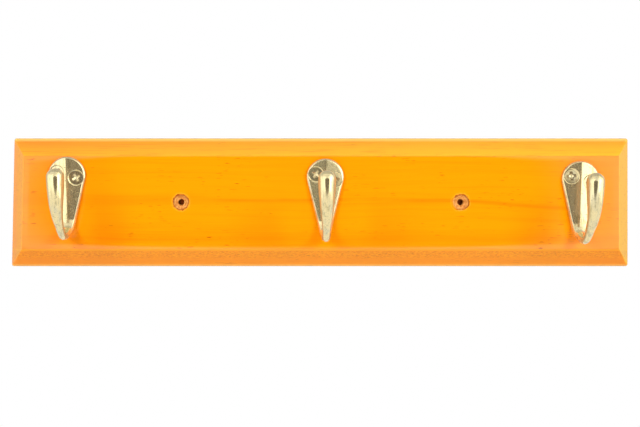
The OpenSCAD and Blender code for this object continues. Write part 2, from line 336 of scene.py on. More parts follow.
    def build(self) -> bpy.types.Object:
        """Join the face, the edges carried round it, the back and the holes' tubes.

        Returns:
            The board's object.
        """
        inset_long, rise_long = self.edge_rows(self.bevel_long)
        inset_end, rise_end = self.edge_rows(self.bevel_end)
        half_xs, half_zs = self.length / 2 - inset_end, self.height / 2 - inset_long
        columns = self.lines(half_xs[-1], [-self.hole_x, self.hole_x])
        rows = self.lines(half_zs[-1], [self.hole_z])
        corners = self.outer_corner_r + (self.inner_corner_r - self.outer_corner_r) * ease(
            (rise_long - self.thickness / 2) / (self.thickness / 2))
        corners[0] = corners[-1] = 0.0
        at_corner = np.full(self.corner_cells, 0.5)
        half_turn = [np.ones(len(columns)), at_corner, np.zeros(len(rows)), at_corner]
        on_long = np.concatenate([*half_turn, *half_turn, [1.0]])
        rings = []
        for i, corner in enumerate(corners):
            ring = self.loop(columns, rows, half_xs[i], half_zs[i], corner)
            rise = rise_long[i] * on_long + rise_end[i] * (1 - on_long)
            rings.append(stack(ring[:, 0], -rise, ring[:, 1]))
        skin = Skin()
        skin.add(self.skewed(np.stack(rings)))
        mid_x = np.abs(np.abs((columns[1:] + columns[:-1]) / 2) - self.hole_x) < self.block_half
        mid_z = np.abs((rows[1:] + rows[:-1]) / 2 - self.hole_z) < self.block_half
        solid = ~(mid_z[:, None] & mid_x)
        grid_x, grid_z = np.meshgrid(columns, rows)
        skin.add(self.skewed(stack(grid_x, -self.thickness, grid_z)), keep=solid)
        for side in (-1, 1):
            skin.add(self.hole_rows(side * self.hole_x, columns, rows), flip=True)
        from_hole = np.hypot(np.abs(grid_x) - self.hole_x, grid_z - self.hole_z)
        spread = ease((from_hole - self.back_still_r) / self.back_settle_l)
        back_x = grid_x * (1 + (half_xs[0] / half_xs[-1] - 1) * spread)
        back_z = grid_z * (1 + (half_zs[0] / half_zs[-1] - 1) * spread)
        skin.add(self.skewed(stack(back_x, 0.0, back_z)), flip=True, keep=solid)
        return skin.piece("pine_board", "lacquered_pine", self.sharp_deg)


@dataclass
class CastHook:
    """A cast brass robe hook: a drop-shaped ridged plate, a neck, and a prong with a bulb."""

    place: Place
    x: float
    z: float
    turn_deg: float
    front: float = Board.thickness
    plate_r: float = 9.0
    taper_deg: float = 13.9
    flat_l: float = 30.0
    ridge_t: float = 2.9
    facet_edge_t: float = 1.625
    edge_t: float = 1.1
    rim_w: float = 0.72
    rim_share: float = 0.42
    rim_power: float = 1.3
    rim_gap: float = 0.15
    lean: float = 0.0
    lean_fade_l: float = 6.0
    neck_r: float = 1.85
    neck_bend_r: float = 7.5
    neck_turn_deg: float = 62.0
    neck_l: float = 15.0
    neck_power: float = 1.6
    round_l: float = 11.0
    slant_l: float = 6.0
    crook_r: float = 15.0
    rise_deg: float = 43.0
    upper_bend_r: float = 16.0
    reach: float = 31.4
    tip_rise: float = 3.0
    bulb_r: float = 4.15
    dome_h: float = 4.0
    swell_l: float = 31.0
    squareness: float = 2.08
    screw_offset: float = 4.6
    screw_stagger: float = 2.7
    sink_r: float = 1.95
    sink_floor: float = 0.5
    sink_top_r: float = 3.8
    # Painted shade on the countersinks' walls.
    sink_shade_share: float = 0.62
    sink_shade_change: float = 0.33
    sink_shade_fade: float = 0.2
    web_t: float = 0.3
    rim_softness: float = 0.05
    sink_softness: float = 0.05
    ridge_softness: float = 0.3
    facet_cells: int = 46
    head_rows: int = 88
    side_rows: int = 80
    neck_rows: int = 44
    swell_rows: int = 84
    dome_rows: int = 16
    mark_rows: int = 20
    mark_cells: int = 3
    sharp_deg: float = 40.0

    RIM = np.array([1.35, 1.22, 1.1, 1.0, 0.9, 0.78, 0.64, 0.48, 0.32, 0.2, 0.1, 0.03, 0.0])
    CORNER_DROP = np.array([0.04, 0.12, 0.24])
    WALL_SHARE = np.array([0.55, 0.1, 0.0])
    WALL_IN = np.array([0.0, 0.0, 0.08])
    BACK = np.linspace(0.15, 1.0, 7)

    def __post_init__(self) -> None:
        """Work out the slopes, and the path's bends with the length and turn of each."""
        self.taper = math.radians(self.taper_deg)
        self.cos_t, self.sin_t = math.cos(self.taper), math.sin(self.taper)
        self.facet_slope = (self.ridge_t - self.facet_edge_t) / (self.plate_r - self.rim_w)
        self.front_n = self.facet_cells + 1 + len(self.RIM)
        self.bend_z = self.plate_r - self.flat_l
        self.side_l = (-self.bend_z - self.plate_r * self.sin_t) / self.cos_t
        self.bend_half_w = self.plate_r * self.cos_t - self.side_l * self.sin_t
        turn, rise = math.radians(self.neck_turn_deg), math.radians(self.rise_deg)
        crook_turn, upper_turn = math.pi / 2 - turn + rise, math.pi / 2 - rise
        out = self.ridge_t / 2 + self.neck_bend_r * (1 - math.cos(turn))
        out += self.crook_r * (math.cos(turn) + math.sin(rise))
        ramp = (self.reach - out - self.upper_bend_r * (1 - math.sin(rise))) / math.cos(rise)
        self.stretches = [
            (self.neck_bend_r * turn, turn),
            (self.crook_r * crook_turn, crook_turn),
            (ramp, 0.0),
            (self.upper_bend_r * upper_turn, upper_turn),
        ]
        bent = sum(length for length, _ in self.stretches)
        top = float(self.path(np.array([bent]))[1][0])
        self.path_l = bent + self.tip_rise - self.dome_h - top

    def path(self, s: Array) -> tuple[Array, Array, Array]:
        """The hook's middle line: straight down the plate, two bends, a ramp and a last bend.

        Along an arc the heading grows evenly, and the place is the integral of its cosine and
        sine. The line is straight before the first bend, on the ramp and after the last bend.

        Args:
            s: Distances from where the neck starts to bend.

        Returns:
            Distance in front of the board, height, and heading in radians above level.
        """
        heading = np.full_like(s, -math.pi / 2)
        out = np.full_like(s, self.ridge_t / 2)
        up = self.bend_z + np.maximum(-s, 0.0)
        start, first = 0.0, -math.pi / 2
        for length, turn in self.stretches:
            run = np.clip(s - start, 0.0, length)
            if turn == 0.0:
                out += run * math.cos(first)
                up += run * math.sin(first)
            else:
                radius = length / turn
                out += radius * (np.sin(first + run / radius) - math.sin(first))
                up -= radius * (np.cos(first + run / radius) - math.cos(first))
                heading += run / radius
            start += length
            first += turn
        up += np.maximum(s - start, 0.0)
        return out, up, heading

    def half_width(self, s: Array) -> Array:
        """Half the neck's or prong's width: it narrows by a power, then swells by an ease.

        Args:
            s: Distances along the path.

        Returns:
            The half widths.
        """
        before = np.clip(1 - s / self.neck_l, 0, 1) ** self.neck_power
        swell = ease((s - self.path_l + self.swell_l) / self.swell_l)
        return (self.neck_r + (self.bend_half_w - self.neck_r) * before
                + (self.bulb_r - self.neck_r) * swell)

    def section(self, outline: Array, lean: Array, reach: Array) -> tuple[Array, Array, Array]:
        """Half of the plate's section, along lines square to its outline.

        The columns run from the ridge over the facet and the rim, down the edge and back along
        the flat back. The facet falls evenly from a rounded ridge, the rim is a quarter of a
        power curve down to the edge, and their soft minimum is the surface.

        Args:
            outline: Each line's outline point, across the plate.
            lean: The part of each line's outward direction that points across the plate.
            reach: Each line's length, from the outline to the ridge or the head's middle.

        Returns:
            Distance in from the outline, place across and height above the board.
        """
        reach, outline, lean = reach[:, None], outline[:, None], lean[:, None]
        rim = np.minimum(self.rim_w, self.rim_share * reach)
        first = self.RIM[0] + self.rim_gap
        spread = np.linspace(1, 0, self.facet_cells + 1)
        d = np.concatenate([
            first * rim + (reach - first * rim) * spread, rim * self.RIM,
            np.broadcast_to(self.WALL_IN, (len(reach), len(self.WALL_IN))), reach * self.BACK,
        ], axis=1)
        across = outline - lean * d
        soft = self.ridge_softness
        facet = self.ridge_t - self.facet_slope * (np.hypot(across, soft) - soft)
        inner = self.ridge_t - self.facet_slope * np.abs(outline - lean * rim)
        share = 1 - np.clip(d / rim, 0, 1)
        curve = (1 - share**self.rim_power) ** (1 / self.rim_power)
        slant = self.edge_t + (inner - self.edge_t) * curve
        slant += np.maximum(d / rim - 1, 0) * (inner - self.edge_t)
        height = soft_min(facet, slant, self.rim_softness)
        front, wall = self.front_n, self.front_n + len(self.WALL_IN)
        height[:, front - len(self.CORNER_DROP):front] -= self.CORNER_DROP
        height[:, front:wall] = self.edge_t * self.WALL_SHARE
        height[:, wall:] = 0.0
        return d, across, height

    def screw_at(self, seat: Seat) -> tuple[float, float]:
        """Place of a screw's axis, across and up the plate."""
        return seat.value * self.screw_offset, -seat.value * self.screw_stagger / 2

    def from_screw(self, seat: Seat, across: Array, up: Array) -> tuple[Array, Array]:
        """Places across and up the plate, counted from a screw's axis."""
        middle_x, middle_z = self.screw_at(seat)
        return across - middle_x, up - middle_z

    def plate_rows(self, side: int) -> Array:
        """Half of the plate: lines round its head from the top, then down its side.

        Each countersink is a cone whose axis leans with the facet, and cuts into the surface.

        Args:
            side: -1 for the left half and 1 for the right.

        Returns:
            Rows of points as place across, distance out and height.
        """
        angle = np.concatenate([
            np.linspace(math.pi / 2, -self.taper, self.head_rows),
            np.full(self.side_rows - 1, -self.taper),
        ])
        down = np.zeros(len(angle))
        down[self.head_rows:] = np.linspace(0, self.side_l, self.side_rows)[1:]
        lean_x, lean_z = np.cos(angle), np.sin(angle)
        across = self.plate_r * lean_x - down * self.sin_t
        up = self.plate_r * lean_z - down * self.cos_t
        reach = np.where(down > 0, across / self.cos_t, self.plate_r)
        d, x, height = self.section(across, lean_x, reach)
        x, z = side * x, up[:, None] - lean_z[:, None] * d
        surface = height[:, :self.front_n]
        level = ease((up[:, None] - self.bend_z) / self.lean_fade_l)
        surface -= (self.lean * x * level)[:, :self.front_n]
        for seat in Seat:
            aside, above = self.from_screw(seat, x, z)
            cone = self.sink_floor + np.hypot(aside, above) - self.sink_r
            cone -= (self.facet_slope * seat.value + self.lean) * aside
            sunk = np.maximum(soft_min(height, cone, self.sink_softness), self.web_t)
            surface[:] = np.minimum(surface, sunk[:, :self.front_n])
        return stack(x, height, z)

    def prong_rows(self, side: int) -> Array:
        """Half of the neck and prong, which the plate's last line turns into.

        A row's section blends from the plate's section to an oval, whose points are powers of a
        sine and a cosine, and stands square to the path. The first rows keep the slant of the
        plate's last line, which fades along them.

        Args:
            side: -1 for the left half and 1 for the right.

        Returns:
            Rows of points as place across, distance out and height.
        """
        neck = np.linspace(0, self.neck_l, self.neck_rows)
        s = np.concatenate([neck, np.linspace(self.neck_l, self.path_l, self.swell_rows)[1:]])
        w = self.half_width(s)
        d, x, height = self.section(w, np.full_like(w, self.cos_t), w / self.cos_t)
        flat = stack(x, height - self.ridge_t / 2)
        step = np.linalg.norm(np.diff(flat[0], axis=0), axis=1)
        turn = np.concatenate([[0], np.cumsum(step)]) / step.sum() * math.pi
        half_t = self.ridge_t / 2
        depth = np.where(
            s < self.neck_l, half_t + (self.neck_r - half_t) * ease(s / self.neck_l), w)
        power = 2 / self.squareness
        oval_x = np.abs(np.sin(turn)) ** power
        oval_y = np.sign(np.cos(turn)) * np.abs(np.cos(turn)) ** power
        oval = stack(w[:, None] * oval_x, depth[:, None] * oval_y)
        p = flat + (oval - flat) * ease(s / self.round_l)[:, None, None]
        slant = d * self.sin_t * (1 - ease(s / self.slant_l))[:, None]
        out, up, heading = self.path(s[:, None] - slant)
        rows = stack(side * p[..., 0], out - p[..., 1] * np.sin(heading),
                     up + p[..., 1] * np.cos(heading))
        latitude = np.linspace(0, math.pi / 2, self.dome_rows)[1:, None]
        ring = self.bulb_r * np.cos(latitude)
        dome = stack(side * ring * oval_x, self.reach - ring * oval_y,
                     self.tip_rise - self.dome_h * (1 - np.sin(latitude)))
        return np.concatenate([rows, dome])

    def sink_shade(self, points: Array) -> Array:
        """Painted shade on the countersinks' walls, thickest at the upper left and the lower right.

        Args:
            points: The plate's points, as from plate_rows.

        Returns:
            Shares from 0, no shade, to 1: a steady one less a sine of twice the angle about the
            screw, which ends at the countersink's edge by an ease.
        """
        painted_shade = np.zeros(points.shape[:-1])
        for seat in Seat:
            aside, above = self.from_screw(seat, points[..., 0], points[..., 2])
            uneven = self.sink_shade_share - self.sink_shade_change * np.sin(2 * np.arctan2(above, aside))
            within = ease((self.sink_top_r - np.hypot(aside, above)) / self.sink_shade_fade)
            painted_shade = np.maximum(painted_shade, uneven * within)
        return painted_shade

    def in_place(self, points: Array) -> Array:
        """Turn points about the plate's head and put them on the board.

        Args:
            points: Points as place across, distance out and height, from the head's middle.

        Returns:
            The same points in the rack's frame.
        """
        cos, sin = math.cos(math.radians(self.turn_deg)), math.sin(math.radians(self.turn_deg))
        across, out, up = points[..., 0], points[..., 1], points[..., 2]
        return stack(self.x + across * cos + up * sin, -self.front - out,
                     self.z - across * sin + up * cos)

    def build(self) -> bpy.types.Object:
        """Join the halves of the plate and prong, and mark the rougher facets and the painted shade.

        The facets' mark is 1, fades out at the rim by an ease, and fades down the neck.

        Returns:
            The hook's object.
        """
        skin = Skin()
        for side in (-1, 1):
            plate, prong = self.plate_rows(side), self.prong_rows(side)
            facet = ease((self.facet_cells + 1.5 - np.arange(plate.shape[1])) / self.mark_cells)
            fade = 1 - ease(np.arange(len(prong)) / self.mark_rows)[:, None]
            # Painted shade in the countersinks, laid over the facets' mark.
            painted_shade = self.sink_shade(plate)
            skin.add(self.in_place(plate), flip=side > 0, mark=facet * (1 - painted_shade) - painted_shade)
            skin.add(self.in_place(prong), flip=side > 0, mark=facet * fade)
        return skin.piece(f"brass_hook_{self.place.value}", "cast_brass", self.sharp_deg)


@dataclass(frozen=True)
class Drive:
    """How a screw was left: the turn of its recess, how much painted shade packs its wings, and slopes
    that tip its head.
    """

    recess_turn_deg: float
    # How much painted shade packs the recess's wings.
    painted_shade: float = 0.0
    tip: tuple[float, float] = (0.0, 0.0)


@dataclass
class HookScrew:
    """A countersunk wood screw with a cross recess, driven through a hook's plate."""

    hook: CastHook
    seat: Seat
    drive: Drive
    head_r: float = 3.6
    head_top: float = 1.88
    edge_drop: float = 0.75
    edge_in: float = 0.25
    crown: float = 0.05
    seat_drop: float = 2.3
    shank_r: float = 1.75
    length: float = 12.7
    pitch: float = 1.3
    thread_depth: float = 0.55
    thread_share: float = 0.3
    point_l: float = 2.8
    point_power: float = 0.7
    recess_r: float = 2.25
    recess_depth: float = 1.0
    recess_step: float = 0.25
    wing_half: float = 0.66
    bell: float = 0.25
    bell_r: float = 0.95
    wing_taper: float = 0.35
    wing_taper_l: float = 0.4
    wall_w: float = 0.2
    wear: float = 0.05
    wear_change: float = 0.03
    wear_w: float = 0.09
    around: int = 112
    recess_rows: int = 34
    rim_rows: int = 22
    thread_rows: int = 72
    sharp_deg: float = 40.0

    def inside_wing(self, radius: Array, angle: Array) -> Array:
        """Distance into the crossed wings of the recess from their walls, less than 0 outside.

        A wing widens towards the middle by a bell and narrows towards its end by an ease.

        Args:
            radius: Distances from the screw's axis.
            angle: Angles about it.

        Returns:
            The distances.
        """
        turned = angle - math.radians(self.drive.recess_turn_deg)
        x, y = np.abs(radius * np.cos(turned)), np.abs(radius * np.sin(turned))
        taper = ease((radius - self.recess_r + self.wing_taper_l) / self.wing_taper_l)
        half = self.wing_half + self.bell * np.exp(-((radius / self.bell_r) ** 2))
        half = half - self.wing_taper * taper
        return half - np.minimum(x, y)

    def shade_marks(self, radius: Array, angle: Array) -> Array:
        """Painted shade on the head, as negative marks that fade by eases.

        It follows the recess's outline, packs the wings of a screw given more of it, and lies round
        the head's edge, where it is thickest above and below the middle.

        Args:
            radius: Distances from the screw's axis.
            angle: Angles about it.

        Returns:
            Marks from 0, no shade, to -1.
        """
        inside, from_end = self.inside_wing(radius, angle), self.recess_r - 0.1 - radius
        outline = ease(np.abs(np.minimum(inside, from_end)) / 0.3) - 1
        edge = ease((self.head_r - 0.12 - radius) / 0.2) - 1
        edge = edge * (0.7 - 0.3 * np.cos(2 * angle))
        packed = ease((inside - 0.1) / 0.2) * ease((radius - 0.9) / 0.5) * ease(from_end / 0.3)
        return np.minimum(np.minimum(outline, edge), -self.drive.painted_shade * packed)

    def head_height(self, radius: Array, angle: Array) -> Array:
        """Top of the head: a plane that leans with the facet, less the cross recess.

        The recess has a short step at its rim and then deepens evenly to the middle. It is kept
        to two crossed wings by an ease across each wing's wall, and the corners between the
        wings and their ends are rounded. The plane is tipped further where a screw was driven
        askew, and its edge is worn round more on one slant than on the other.

        Args:
            radius: Distances from the screw's axis.
            angle: Angles about it.

        Returns:
            Heights above the board.
        """
        share = np.clip(1 - radius / self.recess_r, 0, 1)
        step = self.recess_step
        cone = self.recess_depth * (step * ease(share * 6) + (1 - step) * share)
        wing = ease(self.inside_wing(radius, angle) / self.wall_w + 0.5)
        edge = self.wear + self.wear_change * np.sin(2 * angle)
        edge = edge * ease((radius - self.head_r + self.wear_w) / self.wear_w)
        crown = self.crown * (radius / self.head_r) ** 2
        slope = self.hook.facet_slope * self.seat.value + self.hook.lean + self.drive.tip[0]
        lean = radius * (slope * np.cos(angle) + self.drive.tip[1] * np.sin(angle))
        return self.head_top - crown - edge - cone * wing - lean

    def build(self) -> bpy.types.Object:
        """Carry the head's top, its cone, the shank, the helical thread and the point round.

        The thread is a ridge that climbs one pitch in a turn, falls evenly to both sides and
        grows over its first pitch by an ease. The point narrows by a power.

        Returns:
            The screw's object.
        """
        angle = np.linspace(0, 2 * math.pi, self.around + 1)
        flat_r = self.recess_r + 0.2
        radii = np.concatenate([np.linspace(0, flat_r, self.recess_rows),
                                np.linspace(flat_r, self.head_r, self.rim_rows)[1:]])[:, None]
        top = stack(radii, self.head_height(radii, angle))
        shoulder = self.head_top - self.seat_drop
        cone = np.array([
            (self.head_r - self.edge_in, self.head_top - self.edge_drop),
            (self.shank_r + 0.05, shoulder + 0.05), (self.shank_r, shoulder - 0.05),
        ])[:, None] + np.zeros((len(angle), 1))
        start, end = -self.pitch / 2, self.head_top - self.length
        z = np.linspace(start, end, self.thread_rows)[:, None]
        from_ridge = np.abs((z / self.pitch - angle / (2 * math.pi)) % 1.0 - 0.5)
        crest = 1 - np.clip(from_ridge / self.thread_share, 0, 1)
        depth = self.thread_depth * ease((start - z) / self.pitch)
        point = np.clip((z - end) / self.point_l, 0, 1)
        thread = stack((self.shank_r - depth * (1 - crest)) * point**self.point_power, z)
        rows = np.concatenate([top, cone, thread])
        mark = np.zeros(rows.shape[:2])
        mark[:len(radii)] = self.shade_marks(radii, angle)
        middle_x, middle_z = self.hook.screw_at(self.seat)
        across = rows[..., 0] * np.cos(angle) + middle_x
        up = rows[..., 0] * np.sin(angle) + middle_z
        skin = Skin()
        skin.add(self.hook.in_place(stack(across, rows[..., 1], up)), mark=mark)
        name = f"brass_screw_{self.hook.place.value}_{self.seat.name.lower()}"
        return skin.piece(name, "screw_brass", self.sharp_deg)


class Nodes:
    """Adds shader nodes to a tree and joins them up."""

    def __init__(self, tree: bpy.types.NodeTree) -> None:
        """Keep the tree that the nodes go into."""
        self.tree = tree

    def set(self, socket: Socket, value: Value | tuple) -> None:
        """Link a socket to an input, or write a plain value there.

        Args:
            socket: The input.
            value: The other node's output, or the plain value.
        """
        if isinstance(value, Socket):
            self.tree.links.new(value, socket)
        else:
            socket.default_value = value

    def add(self, kind: str, inputs: dict | None = None, **settings: object) -> bpy.types.Node:
        """Add a node.

        Args:
            kind: The node's type, without the words that all types begin with.
            inputs: Values or sockets for its inputs, by name or number.
            settings: The node's own properties.

        Returns:
            The new node.
        """
        node = self.tree.nodes.new(f"ShaderNode{kind}")
        for key, value in settings.items():
            setattr(node, key, value)
        for key, value in (inputs or {}).items():
            self.set(node.inputs[key], value)
        return node

    def math(self, operation: str, first: Value, *others: Value) -> Socket:
        """Result of Math nodes that take in the values one after another.

        Args:
            operation: What the nodes do.
            first: Value to start from.
            others: Values that it is joined with in turn, or none for a node of one value.

        Returns:
            The last node's output.
        """
        steps = [(other,) for other in others] or [()]
        for step in steps:
            first = self.add("Math", dict(enumerate((first, *step))), operation=operation).outputs[0]
        return first

    def plus(self, *values: Value) -> Socket:
        """Sum."""
        return self.math("ADD", *values)

    def less(self, value: Value, other: Value) -> Socket:
        """A value less another."""
        return self.math("SUBTRACT", value, other)

    def rest(self, value: Value) -> Socket:
        """What a value leaves of 1."""
        return self.less(1.0, value)

    def times(self, *values: Value) -> Socket:
        """Product."""
        return self.math("MULTIPLY", *values)

    def over(self, value: Value, other: Value) -> Socket:
        """Quotient."""
        return self.math("DIVIDE", value, other)

    def most(self, *values: Value) -> Socket:
        """The largest."""
        return self.math("MAXIMUM", *values)

    def least(self, *values: Value) -> Socket:
        """The smallest."""
        return self.math("MINIMUM", *values)

    def size(self, value: Value) -> Socket:
        """A value without its sign."""
        return self.math("ABSOLUTE", value)

    def weighted(self, *pairs: tuple[Value, Value]) -> Socket:
        """Sum of values, each times its weight."""
        return self.plus(*(self.times(value, weight) for value, weight in pairs))

    def ease(self, value: Socket, low: float, high: float) -> Socket:
        """Smooth step of a value, by a Map Range node.

        Args:
            value: The value.
            low: Where the step is 0, which may be the larger of the two.
            high: Where the step is 1.

        Returns:
            The step's value, from 0 to 1.
        """
        node = self.add("MapRange", {
            "Value": value, "From Min": min(low, high), "From Max": max(low, high),
            "To Min": float(low > high), "To Max": float(low < high),
        }, interpolation_type="SMOOTHSTEP")
        return node.outputs[0]

    def band(self, value: Socket, middle: Value, half: float) -> Socket:
        """Soft band: 1 where the value is at the middle, 0 beyond half from it."""
        return self.ease(self.size(self.less(value, middle)), half, 0.0)

    def noise(self, place: Socket, scale: tuple, detail: float = 2.0, rough: float = 0.5,
              shift: tuple = (0.0, 0.0, 0.0)) -> Socket:
        """Value of a Noise Texture.

        Args:
            place: Where to read it.
            scale: Cells in a unit along each axis.
            detail: Its number of finer layers.
            rough: How strong each finer layer is.
            shift: What is added to the place once it is scaled.

        Returns:
            The value, about 0.5.
        """
        vector = self.stretched(place, scale, shift)
        node = self.add("TexNoise", {
            "Vector": vector, "Scale": 1.0, "Detail": detail, "Roughness": rough})
        return node.outputs[0]

    def stretched(self, place: Socket, scale: tuple, shift: tuple = (0.0, 0.0, 0.0)) -> Socket:
        """A vector scaled and moved by a Mapping node."""
        return self.add("Mapping", {"Vector": place, "Scale": scale, "Location": shift}).outputs[0]

    def parts(self, vector: Socket) -> list[Socket]:
        """A vector's x, y and z."""
        return list(self.add("SeparateXYZ", {0: vector}).outputs)

    def mix(self, share: Value, under: Socket | Tone, over: Socket | Tone) -> Socket:
        """Mix of two colours.

        Args:
            share: The second colour's share, from 0 to 1.
            under: First colour.
            over: Second colour.

        Returns:
            The colour.
        """
        node = self.add("Mix", data_type="RGBA")
        for name, value in (("Factor_Float", share), ("A_Color", under), ("B_Color", over)):
            self.set(next(i for i in node.inputs if i.identifier == name), value)
        return next(o for o in node.outputs if o.identifier == "Result_Color")

    def layered(self, colour: Socket | Tone, *layers: tuple[Socket | Tone, Value, float]) -> Socket:
        """A colour with others laid over it in turn.

        Args:
            colour: The lowest colour.
            layers: The others, each with its mask and the share that the mask is multiplied by.

        Returns:
            The colour.
        """
        for tone, mask, share in layers:
            colour = self.mix(self.times(mask, share), colour, tone)
        return colour

    def bump(self, height: Socket, strength: float) -> Socket:
        """Normal over a height, in steps of a tenth of a millimetre."""
        node = self.add("Bump", {"Height": height, "Strength": strength, "Distance": 0.1 * MM})
        return node.outputs[0]

    def glow(self, colour: Socket | Tone, strength: Value = 1.0) -> Socket:
        """Shader of a surface that gives off a colour."""
        return self.add("Emission", {"Color": colour, "Strength": strength}).outputs[0]

    def clear(self) -> Socket:
        """Shader of a surface that can't be seen."""
        return self.add("BsdfTransparent").outputs[0]

    def blend(self, share: Socket, under: Socket, over: Socket) -> Socket:
        """Mix of two shaders, by the share of the second."""
        return self.add("MixShader", {0: share, 1: under, 2: over}).outputs[0]

    def show(self, shader: Socket) -> None:
        """Put a shader into the material's output."""
        self.set(self.tree.nodes["Material Output"].inputs["Surface"], shader)


class Spot:
    """Where a point of a piece lies, in millimetres, and which way its surface faces."""

    def __init__(self, n: Nodes) -> None:
        """Read the object's coordinates and the normal.

        Args:
            n: The material's nodes.
        """
        coords = n.add("TexCoord").outputs["Object"]
        self.place = n.stretched(coords, (1 / MM, 1 / MM, 1 / MM))
        self.x, self.y, self.z = n.parts(self.place)
        self.n_x, self.n_y, self.n_z = n.parts(n.add("NewGeometry").outputs["Normal"])


def new_material(name: str) -> tuple[bpy.types.Material, Nodes, bpy.types.Node]:
    """Start a material.

    Args:
        name: The material's name.

    Returns:
        The material, its nodes, and its Principled BSDF.
    """
    material = bpy.data.materials.new(name)
    material.use_nodes = True
    return material, Nodes(material.node_tree), material.node_tree.nodes["Principled BSDF"]


def linear(red: int, green: int, blue: int) -> Tone:
    """Scene-linear colour of an sRGB colour.

    Args:
        red: Red, from 0 to 255.
        green: Green, from 0 to 255.
        blue: Blue, from 0 to 255.

    Returns:
        Red, green and blue from 0 to 1, and an alpha of 1.
    """
    share = np.array([red, green, blue]) / 255
    value = np.where(share <= 0.04045, share / 12.92, ((share + 0.055) / 1.055) ** 2.4)
    return (*map(float, value), 1.0)


def value_group(name: str, keys: tuple[str, ...],
                work: Callable[[Nodes, Socket], tuple[Socket, ...]]) -> bpy.types.NodeTree:
    """A node group that turns a place in millimetres into values.

    Args:
        name: The group's name.
        keys: Names of the values.
        work: Adds the nodes that find the values from the place.

    Returns:
        The group.
    """
    tree = bpy.data.node_groups.new(name, "ShaderNodeTree")
    tree.interface.new_socket("Place", in_out="INPUT", socket_type="NodeSocketVector")
    for key in keys:
        tree.interface.new_socket(key, in_out="OUTPUT", socket_type="NodeSocketFloat")
    n = Nodes(tree)
    start, end = tree.nodes.new("NodeGroupInput"), tree.nodes.new("NodeGroupOutput")
    for key, value in zip(keys, work(n, start.outputs["Place"])):
        n.set(end.inputs[key], value)
    return tree


def fibres(n: Nodes, place: Socket) -> tuple[Socket, Socket]:
    """Wood fibres: fine lines along X, and short dark flecks where pores are cut open.

    Args:
        n: The group's nodes.
        place: Place in millimetres.

    Returns:
        The lines' value and the flecks' mask.
    """
    dashes = n.noise(place, (0.21, 2.3, 2.3), 1.0, 0.4)
    where = n.noise(place, (0.03, 0.12, 0.12))
    flecks = n.times(n.ease(dashes, 0.665, 0.74), n.ease(where, 0.44, 0.62))
    return n.noise(place, (0.035, 1.6, 1.6), 5.0, 0.62), flecks


def pits(n: Nodes, place: Socket) -> tuple[Socket, Socket, Socket]:
    """Casting pits and polishing marks on metal.

    Args:
        n: The group's nodes.
        place: Place in millimetres.

    Returns:
        The pits' mask, the surface's height and a cloudy value.
    """
    mask = n.ease(n.noise(place, (1.5, 1.5, 1.5), 2.0, 0.55), 0.62, 0.7)
    height = n.less(n.noise(place, (2.1, 2.1, 2.1), 3.0, 0.6), n.times(mask, 0.8))
    return mask, height, n.noise(place, (0.28, 0.28, 0.28), 3.0, 0.55)


